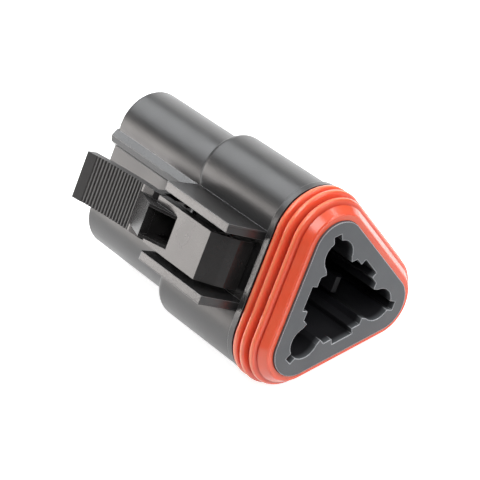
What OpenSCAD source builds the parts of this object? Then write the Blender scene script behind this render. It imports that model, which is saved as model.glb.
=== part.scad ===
// Sealed three-way plug connector, lying on one of its flats.
// The connector's axis is Y: the mating face looks towards -Y and the wires leave
// towards +Y. The three contact cavities stand on a triangle with one corner up (+Z),
// and the latch lies on the upper left flat. The origin is the middle of the mating face.

/* [Cavities] */
// Distance of each contact cavity from the connector's axis
cavity_pitch = 6.3; // [6.2:0.05:6.5]
// Radius of the rear part of a contact cavity
cavity_r = 1.75; // [1.6:0.05:1.9]
// Radius of the front part of a contact cavity
cavity_front_r = 1.35; // [1.2:0.05:1.5]
// Radius of each wire entry in the shell's rear wall
entry_r = 2.9; // [2.6:0.05:3.1]

/* [Shell] */
// Distance from the mating face to the rear end of the shell
rear_y = 36.4; // [35.5:0.1:38]
// Distance from the mating face to the front edge of the shell
front_y = 4.95; // [4.8:0.05:5.2]
// Distance from the mating face to the shoulder behind the front body
shoulder_y = 20.1; // [19.8:0.1:20.6]
// Outer radius of the three rear tubes
tube_r = 4.85; // [4.7:0.05:5.1]
// Distance of the rear flats from the axis
tube_flat = 7.7; // [7.5:0.05:7.9]
// Corner radius of the front body's lobes
body_r = 4.85; // [4.6:0.05:5.1]
// Distance of the front body's lobes from the axis
body_pitch = 8; // [7.8:0.05:8.1]
// Distance of the front body's flats from the axis
body_flat = 8.2; // [8.1:0.05:8.4]
// Radius of the round edge on the shoulder
shoulder_edge = 1.2; // [0.8:0.1:1.5]
// Radius of the round edge on the rear end
rear_edge = 0.5; // [0.3:0.05:0.7]
// Length of the rim against the seal
rim_len = 0.8; // [0.6:0.05:1]
// Thickness of the rear wall that holds the grommet in
rear_wall = 2; // [1.6:0.1:2.4]
// Wall between a rear tube's outside and the chamber in it
tube_wall = 1.25; // [1.1:0.05:1.4]

/* [Nose] */
// Distance of the nose's round corners from the axis
nose_pitch = 7.1; // [7:0.05:7.2]
// Radius of the nose's round corners
nose_r = 3.5; // [3.4:0.05:3.6]
// Depth of the keyed hall that the nose opens into
hall_depth = 13; // [12:0.1:14]
// Radius of the three round lobes of the hall
hall_lobe_r = 2.05; // [1.95:0.05:2.15]
// Reach of the small notch at each lobe's tip
notch_reach = 9.05; // [8.9:0.05:9.3]
// Width of the small notch at each lobe's tip
notch_w = 1.1; // [0.9:0.05:1.3]
// Width of the middle keyway in each side of the hall
key_w = 3; // [2.6:0.1:3.2]
// Distance of the middle keyway's floor from the axis
key_reach = 5.35; // [5.2:0.05:5.5]
// Width of the shallow step on both sides of the keyway
step_w = 5.3; // [5.1:0.05:5.5]
// Distance of the shallow step's floor from the axis
step_reach = 4.6; // [4.5:0.05:4.7]
// Height of the snap beads that hold the carrier in the shell
bead_h = 0.35; // [0.25:0.05:0.45]

/* [Interface seal] */
// Distance from the mating face to the front of the seal
seal_y = 0.3; // [0.2:0.05:0.5]
// Thickness of the seal between its ribs
groove_t = 1.25; // [1.1:0.05:1.35]
// Thickness of the seal at the crest of its rear ribs
rib_t = 2.45; // [2.2:0.05:2.6]
// Height that the front rib stands lower than the others
rib_drop = 0.4; // [0:0.05:0.5]
// Thickness of the seal at its front lip
lip_t = 0.85; // [0.7:0.05:1]
// Thickness of the seal where the sloped land meets the front rib
land_t = 1.45; // [1.3:0.05:1.6]
// Distance between the crests of two ribs
rib_pitch = 1.2; // [1.1:0.05:1.3]
// Number of ribs
rib_count = 3; // [2:1:3]

/* [Grommet] */
// Length of the wire grommet
grommet_len = 8.2; // [7:0.1:9]
// Radius of the wire holes between their rings
wire_hole_r = 1.6; // [1.5:0.05:1.7]
// Radius inside the sealing rings of the wire holes
wire_ring_r = 1.05; // [0.9:0.05:1.3]

/* [Latch] */
// Width of the latch lever
lever_w = 5.9; // [5.5:0.1:6.1]
// Distance of the lever's flat top from the axis
lever_h = 13.5; // [13.3:0.1:13.8]
// Thickness of the lever's plate and thumb pad
plate_t = 1.3; // [1.1:0.05:1.5]
// Distance from the mating face to the lever's hook
hook_y = 7.55; // [7.3:0.05:7.8]
// Distance from the mating face to the lever's rear end
pad_end_y = 31.6; // [30.5:0.1:32.5]
// Rise of the thumb pad's rear end above the plate
pad_rise = 1.9; // [1.5:0.1:2.2]
// Number of grip ridges on the thumb pad
ridge_count = 16; // [10:1:18]
// Height of the grip ridges
ridge_h = 0.22; // [0.15:0.01:0.3]
// Side of the square window in the lever
window_side = 3.4; // [3:0.1:3.6]
// Rise of the hump behind the window
hump_rise = 1.6; // [1.2:0.1:1.8]
// Thickness of the guard rails beside the lever
rail_t = 1.05; // [0.9:0.05:1.2]
// Gap between the lever and each guard rail
rail_gap = 0.95; // [0.6:0.05:1]
// Distance of the guard rails' tops from the axis
rail_h = 13.6; // [13:0.05:14]

/* [Contact locks] */
// Thickness of a contact lock finger
finger_t = 0.75; // [0.65:0.05:0.85]
// Width of a contact lock finger
finger_w = 2; // [1.6:0.1:2.2]
// Distance from the mating face to a finger's tip
finger_tip_y = 4.8; // [4.2:0.1:5.6]

/* [Fits] */
// Clearance of the parts that sit in or on one another
seat_gap = 0.05; // [0.03:0.01:0.08]
// Radial clearance of the round feet that the lever and the fingers turn on
pivot_gap = 0.05; // [0.03:0.01:0.08]

/* [Hidden] */
$fn = 64;
black_nylon = [0.16, 0.16, 0.17];
grey_nylon = [0.3, 0.3, 0.31];
red_silicone = [0.88, 0.29, 0.17];
snip = 0.1;
over = 1;
tuck = 0.005;

// chambers and seats that follow from the outer sizes
chamber_r = tube_r - tube_wall;
chamber_flat = tube_flat - tube_wall;
rim_r = nose_r + rib_t - 0.17;
grommet_end_y = rear_y - rear_wall - seat_gap;
grommet_y = grommet_end_y - grommet_len;
carrier_end_y = grommet_y - seat_gap;
carrier_step_y = shoulder_y - 1.6;
bead_y = carrier_step_y - 2.5;
bead_len = 1.2;
bead_turn = 80;
cavity_step_y = hall_depth + 4;

// keyed hall
hall_lobe_pitch = cavity_pitch - 0.1;
hall_neck_w = 2 * hall_lobe_r - 0.4;

// seal
seal_in = nose_r + seat_gap;
seal_groove = nose_r + groove_t;
lip_edge = 0.15;
rib_round = 0.36;
rib_foot = 0.5;
rib_slope = 70;
rib_last_y = front_y - 2 * seat_gap - rib_foot;
rib_first_y = rib_last_y - (rib_count - 1) * rib_pitch;

// grommet
grommet_relief = 0.3;
grommet_rib = 0.9;
ring_pitch = grommet_len / 3;
ring_land = 0.5;

// latch lever: y along the connector, h away from the axis
plate_y = hook_y + 2.25;
hook_low = body_flat - 0.05;
hook_brow_y = hook_y + 0.95;
hook_brow_h = lever_h - 2.15;
hook_nose_y = hook_y + 0.45;
hook_nose_h = lever_h - 3.1;
hook_chamfer = 0.5;
window_y = 15.6;
hump_y = window_y + window_side;
hump_w = window_side + 0.7;
pad_y = 22.75;
pad_plain = 1.3;
pad_dish = 0.2;
slit_w = 0.25;
slit_y = hump_y + 0.6;
lug_drop = 0.6;
pivot_y = 20.9;
pivot_h = tube_flat + 0.95;
foot_r = 0.6;
leg_t = 1.1;
leg_in = hump_w / 2 + snip;

// guard rails and the pocket between them
rail_in = lever_w / 2 + rail_gap;
rail_y = 7.5;
rail_end_y = 19.3;
rail_lean = 1.5;
rail_round = 0.4;
rail_foot = nose_pitch / 2 + nose_r + 0.3;
pocket_drop = 0.3;

// bars on the rear flat, on both sides of the thumb pad's way
ledge_w = lever_w / 2 - 0.3;
ledge_crest_w = ledge_w + 1.15;
ledge_rise = 0.8;
ledge_foot = tube_flat - 0.6;

// seats of the lever's feet
seat_wall = 0.45;
seat_reach = foot_r + pivot_gap + seat_wall;

// contact locks
finger_in = hall_lobe_pitch - hall_lobe_r - finger_t;
finger_out = finger_in + finger_t;
finger_foot_r = 0.45;
finger_foot_y = hall_depth + 0.2;
nub_h = 0.7;

// ---------- placing ----------

// extrusion along Y of an outline drawn in X and Z
module along(y0, y1) {
    translate([0, y1, 0]) rotate([90, 0, 0]) linear_extrude(y1 - y0) children();
}

// extrusion along X of an outline drawn in Y and Z
module across(x0, x1) {
    translate([x0, 0, 0]) rotate([90, 0, 90]) linear_extrude(x1 - x0) children();
}

// revolution about a line along Y of a profile drawn as radius and Y,
// over an angle centred on +Z
module turned(angle = 360) {
    rotate([-90, 0, 0]) rotate([0, 0, -90 - angle / 2]) rotate_extrude(angle = angle) children();
}

// lobe k turned up, at its distance from the axis: 0 top, 1 lower left, 2 lower right
module at_lobe(k, pitch = 0) {
    rotate([0, -120 * k, 0]) translate([0, 0, pitch]) children();
}

// flat k turned up: 0 upper left with the latch, 1 bottom, 2 upper right
module on_flat(k) {
    rotate([0, -60 - 120 * k, 0]) children();
}

// the two mirrored sides of the latch
module both_sides() {
    children();
    mirror([1, 0, 0]) children();
}

// ---------- shared outlines ----------

// half the length of a flat between two lobes
function half_flat(pitch) = pitch * cos(30);

// the flats' end points, where they run into the lobes
function flat_points(pitch, flat) = [
    for (turn = [30, 150, 270]) for (side = [-1, 1])
        let (q = side * half_flat(pitch))
        [flat * cos(turn) - q * sin(turn), flat * sin(turn) + q * cos(turn)]
];

// three round lobes joined by flats
module lobed(pitch, r, flat) {
    for (k = [0:2]) rotate(90 + 120 * k) translate([pitch, 0]) circle(r);
    polygon(flat_points(pitch, flat));
}

// triangle with round corners, whose flats lie a trace under the corners' tangents
module round_triangle(pitch, r) {
    lobed(pitch, r, pitch / 2 + r - tuck);
}

// profile of a round post whose rear edge is rounded
module round_edge_profile(r, y0, y1, edge) {
    translate([0, y0]) square([r, y1 - y0 - edge]);
    translate([0, y0]) square([r - edge, y1 - y0]);
    translate([r - edge, y1 - edge]) intersection() {
        circle(edge);
        square(edge);
    }
}

// lobed block whose rear edge is rounded
module lobed_block(pitch, r, flat, y0, y1, edge) {
    for (k = [0:2]) at_lobe(k, pitch) turned() round_edge_profile(r, y0, y1, edge);
    along(y0, y1 - edge) polygon(flat_points(pitch, flat));
    along(y0, y1) polygon(flat_points(pitch, flat - edge));
    for (k = [0:2]) on_flat(k) translate([-half_flat(pitch), y1 - edge, flat - edge])
        rotate([0, 90, 0]) cylinder(h = 2 * half_flat(pitch), r = edge);
}

// snap bead round a corner of the nose, with its ramp towards the rear
module bead(gap = 0) {
    for (k = [0:2]) at_lobe(k, nose_pitch) turned(bead_turn + 4 * gap) polygon([
        [nose_r - 0.5, bead_y - gap],
        [nose_r + bead_h + gap, bead_y - gap],
        [nose_r + bead_h + gap, bead_y + 0.3],
        [nose_r - snip, bead_y + bead_len + gap],
        [nose_r - 0.5, bead_y + bead_len + gap]
    ]);
}

// ---------- shell ----------

// side view of a guard rail: its front end leans, its rear corner is round
module rail_outline() {
    polygon([
        [rail_y - rail_lean, rail_foot],
        [rail_y, rail_h],
        [rail_end_y - rail_round, rail_h],
        [rail_end_y, rail_h - rail_round],
        [rail_end_y, rail_foot]
    ]);
    translate([rail_end_y - rail_round, rail_h - rail_round]) circle(rail_round);
}

// ridged bar on the rear flat: it drops to the flat inside and runs into the tube outside
module ledge() {
    along(shoulder_y - over, rear_y) polygon([
        [ledge_w, ledge_foot],
        [ledge_w + 0.05, tube_flat],
        [ledge_w + 0.4, tube_flat + ledge_rise - 0.25],
        [ledge_crest_w, tube_flat + ledge_rise],
        [ledge_crest_w + 0.85, tube_flat + 0.3],
        [ledge_crest_w + 1.15, ledge_foot]
    ]);
}

// block on the rear flat round the seat that a leg of the lever turns in
module seat_block() {
    translate([leg_in - seat_wall, pivot_y - seat_reach, ledge_foot])
        cube([lever_w / 2 - leg_in + 2 * seat_wall, 2 * seat_reach, pivot_h + 0.1 - ledge_foot]);
}

module foot_seat() {
    translate([leg_in - seat_wall - snip, pivot_y, pivot_h]) rotate([0, 90, 0])
        cylinder(h = lever_w / 2 - leg_in + 2 * seat_wall + snip, r = foot_r + pivot_gap);
}

module latch_pocket() {
    translate([-rail_in, front_y + rim_len, body_flat - pocket_drop])
        cube([2 * rail_in, shoulder_y - shoulder_edge - front_y - rim_len, 2]);
}

module shell_solid() {
    difference() {
        union() {
            lobed_block(body_pitch, body_r, body_flat, front_y + rim_len / 2, shoulder_y, shoulder_edge);
            lobed_block(cavity_pitch, tube_r, tube_flat, shoulder_y - 3, rear_y, rear_edge);
        }
        on_flat(0) latch_pocket();
    }
    along(front_y, front_y + rim_len) round_triangle(nose_pitch, rim_r);
    on_flat(0) both_sides() {
        across(rail_in, rail_in + rail_t) rail_outline();
        difference() {
            union() {
                ledge();
                seat_block();
            }
            foot_seat();
        }
    }
}

module shell() {
    color(black_nylon) difference() {
        shell_solid();
        along(front_y - over, carrier_step_y) round_triangle(nose_pitch, nose_r + seat_gap);
        bead(seat_gap);
        along(carrier_step_y - snip, rear_y - rear_wall)
            lobed(cavity_pitch, chamber_r, chamber_flat);
        for (k = [0:2]) at_lobe(k, cavity_pitch)
            along(rear_y - rear_wall - snip, rear_y + over) circle(entry_r);
    }
}

// ---------- contact carrier ----------

// the keyed hall in the nose: three lobes over the contacts and three stepped keyways
module hall_outline() {
    for (k = [0:2]) rotate(120 * k) {
        translate([0, hall_lobe_pitch]) circle(hall_lobe_r);
        translate([-hall_neck_w / 2, 0]) square([hall_neck_w, hall_lobe_pitch]);
        translate([-step_w / 2, 0]) square([step_w, step_reach]);
        translate([-notch_w / 2, 0]) square([notch_w, notch_reach]);
        rotate(60) translate([-step_w / 2, 0]) square([step_w, step_reach]);
        rotate(60) translate([-key_w / 2, 0]) square([key_w, key_reach]);
    }
}

module contact_carrier() {
    color(grey_nylon) difference() {
        union() {
            along(0, carrier_step_y - seat_gap) round_triangle(nose_pitch, nose_r);
            along(carrier_step_y - snip - seat_gap, carrier_end_y)
                lobed(cavity_pitch, chamber_r - seat_gap, chamber_flat - seat_gap);
            bead();
        }
        along(-over, hall_depth) hall_outline();
        for (k = [0:2]) at_lobe(k, cavity_pitch) {
            along(hall_depth - snip, cavity_step_y + snip) circle(cavity_front_r);
            along(cavity_step_y, carrier_end_y + over) circle(cavity_r);
        }
        for (k = [0:2]) at_lobe(k)
            translate([-finger_w / 2 - snip, finger_foot_y, finger_in + finger_t / 2])
            rotate([0, 90, 0]) cylinder(h = finger_w + 2 * snip, r = finger_foot_r + pivot_gap);
    }
}

// ---------- seals ----------

// quarter and half rounds of the seal's ribs, as points from one angle to another
function round_points(x, y, r, from, to) = [
    for (i = [0:6]) let (turn = from + (to - from) * i / 6) [x + r * cos(turn), y + r * sin(turn)]
];

// section of the interface seal, as distance from the corner's centre and Y,
// with some stock on its inner side and at both ends
module seal_profile() {
    stock = seal_in - 0.5;
    polygon(concat(
        [
            [stock, seal_y - over],
            [nose_r + lip_t - lip_edge, seal_y - over],
            [nose_r + lip_t - lip_edge, seal_y + lip_edge / 3],
            [nose_r + lip_t, seal_y + lip_edge],
            [nose_r + land_t, rib_first_y - rib_foot - lip_edge]
        ],
        [for (i = [0:rib_count - 1])
            let (y = rib_first_y + i * rib_pitch, t = i == 0 ? rib_t - rib_drop : rib_t)
            each concat(
                [[seal_groove, y - rib_foot]],
                round_points(nose_r + t - rib_round, y, rib_round, -rib_slope, rib_slope),
                [[seal_groove, y + rib_foot]]
            )
        ],
        [[seal_groove, front_y], [stock, front_y]]
    ));
}

// the seal's section carried round the nose, over three corners and three flats
module interface_seal() {
    corner_turn = 132;
    color(red_silicone) difference() {
        for (k = [0:2]) {
            at_lobe(k, nose_pitch) turned(corner_turn) seal_profile();
            on_flat(k) across(snip - half_flat(nose_pitch), half_flat(nose_pitch) - snip)
                translate([0, nose_pitch / 2 - tuck]) mirror([1, -1]) seal_profile();
        }
        along(seal_y - 2 * over, front_y + over) round_triangle(nose_pitch, seal_in);
        along(seal_y - 2 * over, seal_y) circle(nose_pitch + rim_r + over);
        along(front_y - seat_gap, front_y + over) circle(nose_pitch + rim_r + over);
    }
}

// the space of a wire hole: a bore that three rings narrow
module wire_hole() {
    slope = wire_hole_r - wire_ring_r;
    turned() polygon(concat(
        [[0, grommet_y - over], [wire_hole_r, grommet_y - over]],
        [for (i = [0:2]) let (mid = grommet_y + (i + 0.5) * ring_pitch, half = ring_land / 2) each [
            [wire_hole_r, mid - half - slope], [wire_ring_r, mid - half],
            [wire_ring_r, mid + half], [wire_hole_r, mid + half + slope]
        ]],
        [[wire_hole_r, grommet_end_y + over], [0, grommet_end_y + over]]
    ));
}

module grommet_slice(y0, y1, relief) {
    along(y0, y1) lobed(cavity_pitch, chamber_r - relief, chamber_flat - relief);
}

module wire_grommet() {
    color(red_silicone) difference() {
        union() {
            grommet_slice(grommet_y, grommet_end_y, grommet_relief);
            for (i = [0:2]) {
                y = grommet_y + (i + 0.5) * ring_pitch;
                grommet_slice(y - grommet_rib / 2, y + grommet_rib / 2, seat_gap);
            }
        }
        for (k = [0:2]) at_lobe(k, cavity_pitch) wire_hole();
    }
}

// ---------- latch lever ----------

// height of the thumb pad's dished top, from its front edge to its rear edge
function pad_h(y) = let (t = (y - pad_y) / (pad_end_y - pad_y))
    lever_h + pad_rise * t - 4 * pad_dish * t * (1 - t);

ridge_pitch = (pad_end_y - pad_plain - pad_y) / ridge_count;

// side view of the lever: hook, plate and ridged thumb pad
module lever_outline() {
    pad_steps = 6;
    polygon(concat(
        [
            [plate_y, lever_h - plate_t], [plate_y, hook_low], [hook_y + hook_chamfer, hook_low],
            [hook_y, hook_low + hook_chamfer],
            [hook_nose_y, hook_nose_h],
            [hook_brow_y, hook_brow_h], [plate_y, lever_h], [pad_y, lever_h]
        ],
        [for (i = [0:ridge_count - 1]) let (y = pad_y + i * ridge_pitch) each [
            [y, pad_h(y) - ridge_h],
            [y + 0.3 * ridge_pitch, pad_h(y)],
            [y + 0.7 * ridge_pitch, pad_h(y)]
        ]],
        [
            [pad_end_y - pad_plain, pad_h(pad_end_y - pad_plain)],
            [pad_end_y, pad_h(pad_end_y)],
            [pad_end_y, pad_h(pad_end_y) - plate_t]
        ],
        [for (i = [pad_steps - 1:-1:0])
            let (y = pad_y + i / pad_steps * (pad_end_y - pad_y))
            [y, pad_h(y) - plate_t]
        ]
    ));
}

// side view of the hump that stiffens the lever over its pivot
module hump_outline(drop = 0) {
    polygon([
        [window_y, lever_h - drop], [hump_y, lever_h + hump_rise - drop],
        [pad_y, lever_h - drop], [pad_y, lever_h - plate_t - drop],
        [window_y, lever_h - plate_t - drop]
    ]);
}

// leg that carries the lever, with the round foot it turns on
module leg() {
    translate([leg_in, pivot_y - leg_t / 2, pivot_h])
        cube([lever_w / 2 - leg_in, leg_t, lever_h - plate_t / 2 - pivot_h]);
    translate([leg_in, pivot_y, pivot_h]) rotate([0, 90, 0])
        cylinder(h = lever_w / 2 - leg_in, r = foot_r);
}

// what is cut from the lever's side strips: the slit and the slope over the leg
module strip_cuts() {
    translate([leg_in, slit_y, lever_h - plate_t - over]) cube([lever_w, slit_w, 2 * plate_t + over]);
    across(hump_w / 2, lever_w) polygon([
        [slit_y, lever_h - lug_drop], [slit_y + 1.2, lever_h - lug_drop / 4],
        [pad_y - 0.3, lever_h], [slit_y, lever_h + over]
    ]);
}

module latch_lever() {
    color(black_nylon) on_flat(0) difference() {
        union() {
            across(-lever_w / 2, lever_w / 2) lever_outline();
            across(-hump_w / 2, hump_w / 2) hump_outline();
            both_sides() leg();
        }
        translate([-window_side / 2, window_y, lever_h - plate_t - over])
            cube([window_side, window_side, hump_rise + 2 * plate_t + over]);
        across(-window_side / 2, window_side / 2) hump_outline(plate_t);
        both_sides() strip_cuts();
    }
}

// ---------- contact locks ----------

// finger that bends inwards as a contact is pushed home, and then holds its shoulder
module lock_finger(k) {
    tip = finger_tip_y;
    color(grey_nylon) at_lobe(k) {
        across(-finger_w / 2, finger_w / 2) polygon([
            [tip, finger_in], [tip, finger_out],
            [tip + 0.6, finger_out + nub_h], [tip + 1.3, finger_out + nub_h],
            [tip + 1.9, finger_out], [finger_foot_y, finger_out],
            [finger_foot_y, finger_in]
        ]);
        translate([-finger_w / 2, finger_foot_y, finger_in + finger_t / 2])
            rotate([0, 90, 0]) cylinder(h = finger_w, r = finger_foot_r);
    }
}

shell();
contact_carrier();
interface_seal();
wire_grommet();
latch_lever();
lock_finger(0);  // lock_finger_1
lock_finger(1);  // lock_finger_2
lock_finger(2);  // lock_finger_3
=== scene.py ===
import math

import bpy
from mathutils import Matrix, Vector


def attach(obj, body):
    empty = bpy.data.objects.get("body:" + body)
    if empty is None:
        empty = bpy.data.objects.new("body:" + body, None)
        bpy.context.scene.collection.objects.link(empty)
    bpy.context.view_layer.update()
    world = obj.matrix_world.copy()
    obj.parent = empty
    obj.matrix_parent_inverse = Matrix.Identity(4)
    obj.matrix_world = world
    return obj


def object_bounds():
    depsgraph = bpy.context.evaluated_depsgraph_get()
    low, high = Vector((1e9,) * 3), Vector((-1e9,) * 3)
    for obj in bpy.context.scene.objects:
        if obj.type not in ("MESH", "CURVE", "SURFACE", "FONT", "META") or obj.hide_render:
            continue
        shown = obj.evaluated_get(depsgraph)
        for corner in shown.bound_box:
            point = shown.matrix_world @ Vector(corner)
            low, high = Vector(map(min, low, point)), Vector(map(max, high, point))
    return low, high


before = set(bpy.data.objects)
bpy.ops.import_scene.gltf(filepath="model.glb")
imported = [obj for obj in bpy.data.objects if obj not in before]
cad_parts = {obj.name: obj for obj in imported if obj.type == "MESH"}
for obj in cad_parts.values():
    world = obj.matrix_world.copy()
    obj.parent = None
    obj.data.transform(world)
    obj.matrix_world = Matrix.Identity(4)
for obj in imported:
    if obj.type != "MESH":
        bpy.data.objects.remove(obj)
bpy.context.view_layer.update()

# ---------------------------------------------------------------- view
# The plug lies on its bottom flat, seen from above its mating face with the latch
# side turned towards the viewer, through a long lens.
view_azimuth = math.radians(-35.331)
view_elevation = math.radians(35.106)
view_roll = math.radians(3.76)
view_place = Vector((-0.1163, -0.1453, 0.14))

ahead = Vector((
    -math.cos(view_elevation) * math.sin(view_azimuth),
    math.cos(view_elevation) * math.cos(view_azimuth),
    -math.sin(view_elevation),
))
level_right = ahead.cross(Vector((0, 0, 1))).normalized()
level_up = level_right.cross(ahead)
roll = Matrix.Rotation(view_roll, 3, ahead)
right, up = roll @ level_right, roll @ level_up
lens = bpy.data.cameras.new("studio_camera")
lens.lens = 154.69
lens.sensor_width = 36
lens.clip_start = 0.01
camera = bpy.data.objects.new("studio_camera", lens)
camera.matrix_world = Matrix((
    (right.x, up.x, -ahead.x, view_place.x),
    (right.y, up.y, -ahead.y, view_place.y),
    (right.z, up.z, -ahead.z, view_place.z),
    (0, 0, 0, 1),
))
bpy.context.collection.objects.link(camera)
bpy.context.scene.camera = camera

# ---------------------------------------------------------------- shell
# The shell is one moulding of black glass-filled nylon, lobed in front and with three
# tubes behind. Its skin is a fine satin with a faint orange peel; its edges are painted paler,
# partly rubbed wear and partly a painted edge highlight.


def fade(tree, value, start, end, low=0, high=1, clamp=True):
    """A mask that runs from low to high as a value runs from start to end."""
    ramp = tree.nodes.new("ShaderNodeMapRange")
    ramp.clamp = clamp
    ramp.inputs["From Min"].default_value = start
    ramp.inputs["From Max"].default_value = end
    ramp.inputs["To Min"].default_value = low
    ramp.inputs["To Max"].default_value = high
    tree.links.new(value, ramp.inputs["Value"])
    return ramp.outputs["Result"]


def together(tree, operation, first, second):
    """Two values made into one by an operation."""
    both = tree.nodes.new("ShaderNodeMath")
    both.operation = operation
    tree.links.new(first, both.inputs[0])
    tree.links.new(second, both.inputs[1])
    return both.outputs["Value"]


def place_along(tree, direction, coordinates="Object"):
    """How far a point lies along a direction."""
    place = tree.nodes.new("ShaderNodeTexCoord")
    along = tree.nodes.new("ShaderNodeVectorMath")
    along.operation = "DOT_PRODUCT"
    along.inputs[1].default_value = direction
    tree.links.new(place.outputs[coordinates], along.inputs[0])
    return along.outputs["Value"]


def moulded_skin():
    """Fine moulded skin: uneven colour, paler edges from rubbed wear and a painted edge highlight,
    faint orange peel.
    """
    group = bpy.data.node_groups.new("moulded skin", "ShaderNodeTree")
    face = group.interface
    face.new_socket("Colour", in_out="INPUT", socket_type="NodeSocketColor")
    face.new_socket("Rubbed colour", in_out="INPUT", socket_type="NodeSocketColor")
    face.new_socket("Roughness", in_out="INPUT", socket_type="NodeSocketFloat")
    face.new_socket("Edge", in_out="INPUT", socket_type="NodeSocketFloat")
    face.new_socket("Edge wear and highlight colour", in_out="INPUT", socket_type="NodeSocketColor")
    face.new_socket("Color", in_out="OUTPUT", socket_type="NodeSocketColor")
    face.new_socket("Rough", in_out="OUTPUT", socket_type="NodeSocketFloat")
    face.new_socket("Height", in_out="OUTPUT", socket_type="NodeSocketFloat")
    nodes, links = group.nodes, group.links
    given = nodes.new("NodeGroupInput")
    out = nodes.new("NodeGroupOutput")
    place = nodes.new("ShaderNodeTexCoord")
    cloud = nodes.new("ShaderNodeTexNoise")
    cloud.inputs["Scale"].default_value = 260
    cloud.inputs["Detail"].default_value = 3
    grain = nodes.new("ShaderNodeTexNoise")
    grain.inputs["Scale"].default_value = 5200
    grain.inputs["Detail"].default_value = 2
    for noise in (cloud, grain):
        links.new(place.outputs["Object"], noise.inputs["Vector"])

    patch_start, patch_full, most_rubbed = 0.35, 0.75, 0.5
    rubbed = fade(group, cloud.outputs["Fac"], patch_start, patch_full, high=most_rubbed)
    uneven = nodes.new("ShaderNodeMix")
    uneven.data_type = "RGBA"
    links.new(rubbed, uneven.inputs["Factor"])
    links.new(given.outputs["Colour"], uneven.inputs["A"])
    links.new(given.outputs["Rubbed colour"], uneven.inputs["B"])
    # The edge colour is added along edges: partly rubbed wear, partly a painted edge highlight.
    worn_and_highlit = nodes.new("ShaderNodeMix")
    worn_and_highlit.data_type = "RGBA"
    worn_and_highlit.blend_type = "ADD"
    links.new(given.outputs["Edge"], worn_and_highlit.inputs["Factor"])
    links.new(uneven.outputs["Result"], worn_and_highlit.inputs["A"])
    links.new(given.outputs["Edge wear and highlight colour"], worn_and_highlit.inputs["B"])
    links.new(worn_and_highlit.outputs["Result"], out.inputs["Color"])

    patchiness = 0.12
    patchy = nodes.new("ShaderNodeMath")
    patchy.operation = "MULTIPLY_ADD"
    patchy.inputs[1].default_value = patchiness
    links.new(cloud.outputs["Fac"], patchy.inputs[0])
    links.new(given.outputs["Roughness"], patchy.inputs[2])
    links.new(patchy.outputs["Value"], out.inputs["Rough"])
    links.new(grain.outputs["Fac"], out.inputs["Height"])
    return group


skin = moulded_skin()


def moulded(name, colour, rubbed, roughness, relief, edge, edge_wear_and_highlight_colour=(0, 0, 0)):
    """A moulded material with edges of one radius, its node tree, its shader and its skin."""
    material = bpy.data.materials.new(name)
    material.use_nodes = True
    tree = material.node_tree
    nodes, links = tree.nodes, tree.links
    shader = nodes["Principled BSDF"]
    detail = nodes.new("ShaderNodeGroup")
    detail.node_tree = skin
    detail.inputs["Colour"].default_value = (*colour, 1)
    detail.inputs["Rubbed colour"].default_value = (*rubbed, 1)
    detail.inputs["Roughness"].default_value = roughness
    detail.inputs["Edge wear and highlight colour"].default_value = (*edge_wear_and_highlight_colour, 1)
    round_edge = nodes.new("ShaderNodeBevel")
    round_edge.samples = 6
    round_edge.inputs["Radius"].default_value = edge
    true_face = nodes.new("ShaderNodeNewGeometry")
    turn = nodes.new("ShaderNodeVectorMath")
    turn.operation = "DOT_PRODUCT"
    links.new(round_edge.outputs["Normal"], turn.inputs[0])
    links.new(true_face.outputs["Normal"], turn.inputs[1])
    # The paler edge colour laid on by this mask is partly rubbed wear and partly a painted highlight
    # along the edges.
    nearly_flat, well_turned = 0.995, 0.9
    links.new(fade(tree, turn.outputs["Value"], nearly_flat, well_turned), detail.inputs["Edge"])
    peel = nodes.new("ShaderNodeBump")
    peel.inputs["Strength"].default_value = relief
    peel.inputs["Distance"].default_value = 0.00004
    links.new(round_edge.outputs["Normal"], peel.inputs["Normal"])
    links.new(detail.outputs["Height"], peel.inputs["Height"])
    links.new(detail.outputs["Color"], shader.inputs["Base Color"])
    links.new(detail.outputs["Rough"], shader.inputs["Roughness"])
    links.new(peel.outputs["Normal"], shader.inputs["Normal"])
    return material, tree, shader, detail


def finish_node(name, material):
    """Gives a carried-over solid its finish."""
    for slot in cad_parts[name].material_slots:
        slot.material = material


shell_nylon, shell_tree, shell_shader, shell_skin = moulded(
    "shell nylon",
    colour=(0.021, 0.0205, 0.021),
    rubbed=(0.036, 0.035, 0.035),
    roughness=0.31,
    relief=0.25,
    edge=0.00012,
    edge_wear_and_highlight_colour=(0.16, 0.158, 0.16),
)
shell_shader.inputs["IOR"].default_value = 1.62

# The rails and bars of the latch side come off a polished slide, smoother than the tubes.
# That side looks up and to the left, 30 degrees above the level.
latch_turn = math.radians(30)
latch_outward = Vector((-math.cos(latch_turn), 0, math.sin(latch_turn)))
latch_across = Vector((math.sin(latch_turn), 0, math.cos(latch_turn)))
slide_foot, slide_top = 0.00775, 0.00795
slide_half_width, slide_blend = 0.0046, 0.0006
slide_polish = 0.14
above_axis = place_along(shell_tree, latch_outward)
polish_by_height = fade(shell_tree, above_axis, slide_foot, slide_top, high=slide_polish)
off_middle = shell_tree.nodes.new("ShaderNodeMath")
off_middle.operation = "ABSOLUTE"
shell_tree.links.new(place_along(shell_tree, latch_across), off_middle.inputs[0])
in_reach = fade(
    shell_tree, off_middle.outputs["Value"], slide_half_width + slide_blend, slide_half_width
)
polish = together(shell_tree, "MULTIPLY", polish_by_height, in_reach)
smoother = together(shell_tree, "SUBTRACT", shell_skin.outputs["Rough"], polish)
shell_tree.links.new(smoother, shell_shader.inputs["Roughness"])
finish_node("shell", shell_nylon)

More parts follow.
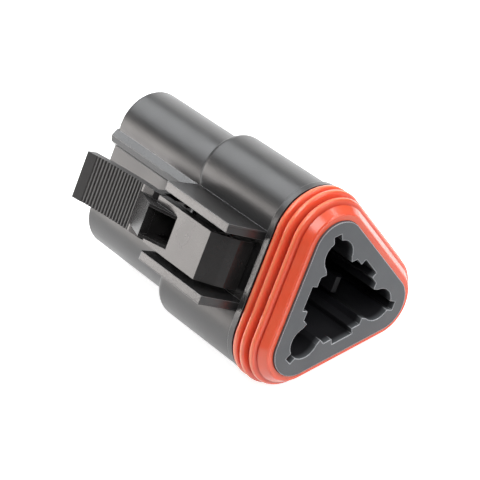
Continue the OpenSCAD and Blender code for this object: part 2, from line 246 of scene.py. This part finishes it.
# ---------------------------------------------------------------- latch lever
# The lever is of the same shot of black nylon as the shell, and bends at its two legs.
# Its plate and hook are smooth, and its ridged thumb pad is left duller.
lever_nylon, lever_tree, lever_shader, lever_skin = moulded(
    "lever nylon",
    colour=(0.019, 0.018, 0.018),
    rubbed=(0.03, 0.028, 0.028),
    roughness=0.2,
    relief=0.05,
    edge=0.00004,
    edge_wear_and_highlight_colour=(0.1, 0.098, 0.096),
)
lever_shader.inputs["IOR"].default_value = 1.62

pad_start, pad_full = 0.0226, 0.0229
pad_dullness = 0.24
on_pad = fade(lever_tree, place_along(lever_tree, (0, 1, 0)), pad_start, pad_full, high=pad_dullness)
duller = together(lever_tree, "ADD", lever_skin.outputs["Rough"], on_pad)
lever_tree.links.new(duller, lever_shader.inputs["Roughness"])
finish_node("latch_lever", lever_nylon)

# ---------------------------------------------------------------- lever's web
# Under the hump the lever has a thick cross wall between its two legs, of the same black
# nylon and the same shot. Its flat front closes the rear side of the square window.
web_half_width = 0.00172
web_front, web_rear = 0.01901, 0.0202
web_foot = 0.0096
web_front_top, web_rear_top = 0.0143, 0.0138
web_edge = 0.00008

bpy.ops.object.select_all(action="DESELECT")
bpy.ops.mesh.primitive_cube_add(size=1)
web = bpy.context.object
web.name = "latch_web"
for corner in web.data.vertices:
    across = web_half_width if corner.co.x > 0 else -web_half_width
    along, top = (web_rear, web_rear_top) if corner.co.y > 0 else (web_front, web_front_top)
    height = top if corner.co.z > 0 else web_foot
    corner.co = latch_across * across + Vector((0, along, 0)) + latch_outward * height
bpy.ops.object.mode_set(mode="EDIT")
bpy.ops.mesh.select_all(action="SELECT")
bpy.ops.mesh.bevel(offset=web_edge, segments=2)
bpy.ops.mesh.normals_make_consistent(inside=False)
bpy.ops.object.mode_set(mode="OBJECT")
web.data.materials.append(lever_nylon)
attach(web, "latch")

# ---------------------------------------------------------------- contact carrier
# The carrier and its three lock fingers are one moulding of dark grey nylon, pressed
# into the shell until its beads snap in. It is duller than the shell.


def colour_over(tree, mask, under, colour):
    """A colour laid over another one as far as a mask says."""
    mix = tree.nodes.new("ShaderNodeMix")
    mix.data_type = "RGBA"
    mix.inputs["B"].default_value = (*colour, 1)
    tree.links.new(mask, mix.inputs["Factor"])
    tree.links.new(under, mix.inputs["A"])
    return mix.outputs["Result"]


# Its edges are painted much paler than its face: a painted highlight along every edge, round the
# mouth of the hall too.
carrier_nylon, carrier_tree, carrier_shader, carrier_skin = moulded(
    "carrier nylon",
    colour=(0.1, 0.106, 0.114),
    rubbed=(0.14, 0.146, 0.154),
    roughness=0.38,
    relief=0.35,
    edge=0.0002,
    edge_wear_and_highlight_colour=(0.5, 0.51, 0.53),
)

# Deeper into the hall the walls are painted darker than the front, a painted shade in the recess.
hall_shade_start, hall_shade_full = 0.0002, 0.0009
hall_shade_colour = (0.012, 0.012, 0.014)
hall_shade_mask = fade(carrier_tree, place_along(carrier_tree, (0, 1, 0)), hall_shade_start, hall_shade_full)
carrier_colour_with_hall_shade = colour_over(carrier_tree, hall_shade_mask, carrier_skin.outputs["Color"], hall_shade_colour)
carrier_tree.links.new(carrier_colour_with_hall_shade, carrier_shader.inputs["Base Color"])
finish_node("contact_carrier", carrier_nylon)
for count in (1, 2, 3):
    finish_node(f"lock_finger_{count}", carrier_nylon)

# ---------------------------------------------------------------- seals
# The interface seal and the wire grommet are moulded of orange-red silicone rubber and
# hold by their own stretch. Silicone lets a little light into its thin ribs.
silicone, seal_tree, seal_shader, seal_skin = moulded(
    "seal silicone",
    colour=(0.97, 0.122, 0.056),
    rubbed=(0.97, 0.18, 0.095),
    roughness=0.18,
    relief=0.12,
    edge=0,
)
seal_shader.inputs["Subsurface Weight"].default_value = 0.25
seal_shader.inputs["Subsurface Scale"].default_value = 0.0006
seal_shader.inputs["Coat Weight"].default_value = 0.3
seal_shader.inputs["Coat Roughness"].default_value = 0.2

# The crests of the ribs are painted pale, a painted highlight, and the grooves are painted deep red,
# a painted shade.
first_crest, rib_pitch = 0.00187, 0.0012
land_end, land_blend = 0.0012, 0.0003
groove_shade_colour, crest_highlight_colour = (0.52, 0.02, 0.01), (1, 0.3, 0.15)
groove_shade_start, groove_shade_full = 0.2, -0.9
crest_highlight_start, crest_highlight_full, crest_highlight_strength = 0.45, 1, 0.8
full_turn = 2 * math.pi
along_seal = place_along(seal_tree, (0, 1, 0))
rib_phase = fade(
    seal_tree, along_seal, first_crest, first_crest + rib_pitch, high=full_turn, clamp=False
)
rib_wave = seal_tree.nodes.new("ShaderNodeMath")
rib_wave.operation = "COSINE"
seal_tree.links.new(rib_phase, rib_wave.inputs[0])
behind_land = fade(seal_tree, along_seal, land_end, land_end + land_blend)
groove_shade = fade(seal_tree, rib_wave.outputs["Value"], groove_shade_start, groove_shade_full)
crest_highlight = fade(seal_tree, rib_wave.outputs["Value"], crest_highlight_start, crest_highlight_full, high=crest_highlight_strength)
seal_colour = seal_skin.outputs["Color"]
for mask, tint in ((groove_shade, groove_shade_colour), (crest_highlight, crest_highlight_colour)):
    on_ribs = together(seal_tree, "MULTIPLY", mask, behind_land)
    seal_colour = colour_over(seal_tree, on_ribs, seal_colour, tint)
seal_tree.links.new(seal_colour, seal_shader.inputs["Base Color"])
finish_node("interface_seal", silicone)
finish_node("wire_grommet", silicone)

# ---------------------------------------------------------------- table
# A wide white table without a horizon. It throws less light back in front of the plug
# than behind it, so that the front stays dark, and it looks white all over.
table_size = 4
table_drop = 0.00002
front_end, rear_end = -0.06, 0.02
front_bounce = 0.16
table_colour = (0.8, 0.8, 0.8)
table_lift = 0.85

lowest = min(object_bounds()[0][2], 0)
bpy.ops.object.select_all(action="DESELECT")
bpy.ops.mesh.primitive_plane_add(size=table_size, location=(0, 0, lowest - table_drop))
table = bpy.context.object
table.name = "table"
white_table = bpy.data.materials.new("white table")
white_table.use_nodes = True
table_tree = white_table.node_tree
table_shader = table_tree.nodes["Principled BSDF"]
table_shader.inputs["Roughness"].default_value = 0.9
table_shader.inputs["Emission Color"].default_value = (1, 1, 1, 1)
rays = table_tree.nodes.new("ShaderNodeLightPath")
bounce = fade(table_tree, place_along(table_tree, (0, 1, 0)), front_end, rear_end, low=front_bounce)
shown_colour = colour_over(table_tree, rays.outputs["Is Camera Ray"], bounce, table_colour)
table_tree.links.new(shown_colour, table_shader.inputs["Base Color"])
mirrored = together(table_tree, "MULTIPLY", rays.outputs["Is Glossy Ray"], bounce)
seen = together(table_tree, "ADD", mirrored, rays.outputs["Is Camera Ray"])
lift = table_tree.nodes.new("ShaderNodeMath")
lift.operation = "MULTIPLY"
lift.inputs[1].default_value = table_lift
table_tree.links.new(seen, lift.inputs[0])
table_tree.links.new(lift.outputs["Value"], table_shader.inputs["Emission Strength"])
table.data.materials.append(white_table)

# ---------------------------------------------------------------- light
# A white tent round the table whose rear walls are the bright ones, so that the black
# nylon shows soft reflections. Two lamps fill in the front from above.
plug_middle = Vector((0, 0.017, 0))


def soft_lamp(name, way, far, size, radiance, tint=(1, 1, 1)):
    """A square soft lamp at a distance in one direction, turned towards the plug."""
    data = bpy.data.lights.new(name, "AREA")
    data.size = size
    data.energy = radiance * math.pi * size * size
    data.color = tint
    lamp = bpy.data.objects.new(name, data)
    way = Vector(way).normalized()
    lamp.location = plug_middle + way * far
    lamp.rotation_euler = (-way).to_track_quat("-Z", "Y").to_euler()
    bpy.context.collection.objects.link(lamp)


warm, cool = (1, 0.95, 0.92), (0.96, 0.98, 1)
soft_lamp("rear left wall", way=(-0.63, 0.76, 0.16), far=0.7, size=0.3, radiance=7.5, tint=warm)
soft_lamp("rear top wall", way=(0, 0.62, 0.78), far=0.7, size=0.5, radiance=4.6, tint=cool)
soft_lamp("rear right wall", way=(0.7, 0.68, 0.24), far=0.7, size=0.42, radiance=2.3)
soft_lamp("front right fill", way=(0.7, -0.8, 0.8), far=0.8, size=0.5, radiance=5)
soft_lamp("front top fill", way=(-0.3, -0.7, 1), far=0.8, size=0.4, radiance=6)

tent_front, tent_rear = -0.3, 0.6
front_glow, rear_glow = 0.2, 0.8
tent = bpy.data.worlds.new("studio")
tent.use_nodes = True
tent_tree = tent.node_tree
towards_rear = place_along(tent_tree, (0, 1, 0), coordinates="Generated")
glow = fade(tent_tree, towards_rear, tent_front, tent_rear, low=front_glow, high=rear_glow)
sight = tent_tree.nodes.new("ShaderNodeLightPath")
backdrop = together(tent_tree, "MAXIMUM", glow, sight.outputs["Is Camera Ray"])
tent_tree.links.new(backdrop, tent_tree.nodes["Background"].inputs["Strength"])
bpy.context.scene.world = tent
bpy.context.scene.view_settings.view_transform = "Standard"
